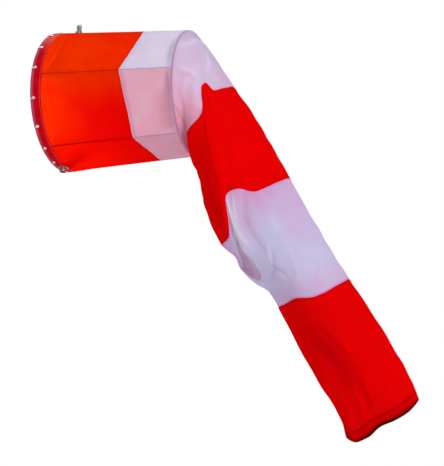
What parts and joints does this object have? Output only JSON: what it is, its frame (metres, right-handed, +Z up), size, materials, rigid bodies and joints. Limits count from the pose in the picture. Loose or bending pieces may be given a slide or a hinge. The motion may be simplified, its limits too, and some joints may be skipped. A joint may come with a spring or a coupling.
{
  "type": "windsock",
  "caption": "Five-band red and white windsock drooping from a round-hooped wire frame that swivels on two ball bearings round the top of its pole",
  "frame": {"origin": "centre of the mast socket's lower face, on the swivel axis", "axes": "+Z up along the pole, +X downwind along the framed part of the sock, +Y across the mouth"},
  "size_m": [1.5433, 0.6055, 1.7617],
  "materials": {
    "spindle_steel": "satin turned steel, lightly weathered",
    "fastener_steel": "zinc-plated steel",
    "bearing_steel": "ground bearing steel",
    "cage_brass": "pressed brass",
    "housing_paint": "grey enamel",
    "frame_wire": "galvanised and painted wire",
    "seal_rubber": "nitrile",
    "red_nylon": "coated ripstop nylon, red",
    "white_nylon": "coated ripstop nylon, white",
    "hem_vinyl": "vinyl-coated hem, dark crimson",
    "casing_tape": "woven white tape",
    "lacing_cord": "white braided cord",
    "eyelet_metal": "pressed aluminium",
    "grommet_plastic": "grey nylon grommet"
  },
  "bodies": {
    "mast_head": {"spindle": "spindle_steel", "socket_set_screws": "fastener_steel", "lower_bearing_inner_race": "bearing_steel", "upper_bearing_inner_race": "bearing_steel", "collar_sleeve": "spindle_steel", "rain_collar": "spindle_steel", "jam_nut": "fastener_steel", "cap_nut": "fastener_steel"},
    "lower_ball_set": {"lower_bearing_balls": "bearing_steel", "lower_bearing_cage": "cage_brass"},
    "upper_ball_set": {"upper_bearing_balls": "bearing_steel", "upper_bearing_cage": "cage_brass"},
    "swivel_frame": {"lower_bearing_outer_race": "bearing_steel", "upper_bearing_outer_race": "bearing_steel", "lower_bearing_housing": "housing_paint", "upper_bearing_housing": "housing_paint", "swivel_tube": "housing_paint", "lower_circlip": "fastener_steel", "upper_circlip": "fastener_steel", "lower_seal": "seal_rubber", "upper_seal": "seal_rubber", "preload_washer": "fastener_steel", "lower_hoop_bracket": "housing_paint", "upper_hoop_bracket": "housing_paint", "mouth_hoop": "frame_wire", "rear_hoop": "frame_wire", "stay_1": "frame_wire", "stay_2": "frame_wire", "stay_3": "frame_wire", "stay_4": "frame_wire", "stay_5": "frame_wire", "stay_6": "frame_wire", "stay_screws": "fastener_steel", "mouth_hem": "hem_vinyl", "sock_band_1": "red_nylon", "sock_band_2": "white_nylon", "pole_grommets": "grommet_plastic", "hem_eyelets": "eyelet_metal", "lacing_ties": "lacing_cord", "rear_hoop_casing": "casing_tape"},
    "tail_upper": {"sock_band_2_bend": "white_nylon", "sock_band_3": "red_nylon"},
    "tail_middle": {"sock_band_4": "white_nylon"},
    "tail_tip": {"sock_band_5": "red_nylon", "exit_hem": "red_nylon"}
  },
  "joints": [
    {"name": "swivel", "type": "hinge", "parent": "mast_head", "child": "swivel_frame", "pos_m": [0, 0, 0.318], "axis": [0, 0, 1], "continuous": true},
    {"name": "lower_ball_orbit", "type": "hinge", "parent": "mast_head", "child": "lower_ball_set", "pos_m": [0, 0, 0.062], "axis": [0, 0, 1], "continuous": true},
    {"name": "upper_ball_orbit", "type": "hinge", "parent": "mast_head", "child": "upper_ball_set", "pos_m": [0, 0, 0.567], "axis": [0, 0, 1], "continuous": true},
    {"name": "tail_lift", "type": "hinge", "parent": "swivel_frame", "child": "tail_upper", "pos_m": [0.5734, 0, 0.579], "axis": [0, -1, 0], "range_deg": [0, 58.6]},
    {"name": "tail_lag", "type": "hinge", "parent": "tail_upper", "child": "tail_middle", "pos_m": [1.00027, 0, -0.07427], "axis": [0, -1, 0], "range_deg": [-10, 0]},
    {"name": "tip_flick", "type": "hinge", "parent": "tail_middle", "child": "tail_tip", "pos_m": [1.24875, 0, -0.48518], "axis": [0, -1, 0], "range_deg": [0, 20]}
  ],
  "couplings": [
    {"joint": "lower_ball_orbit", "follows": "swivel", "ratio": 0.6024},
    {"joint": "upper_ball_orbit", "follows": "swivel", "ratio": 0.5915},
    {"joint": "tail_lag", "follows": "tail_lift", "ratio": -0.1706}
  ]
}
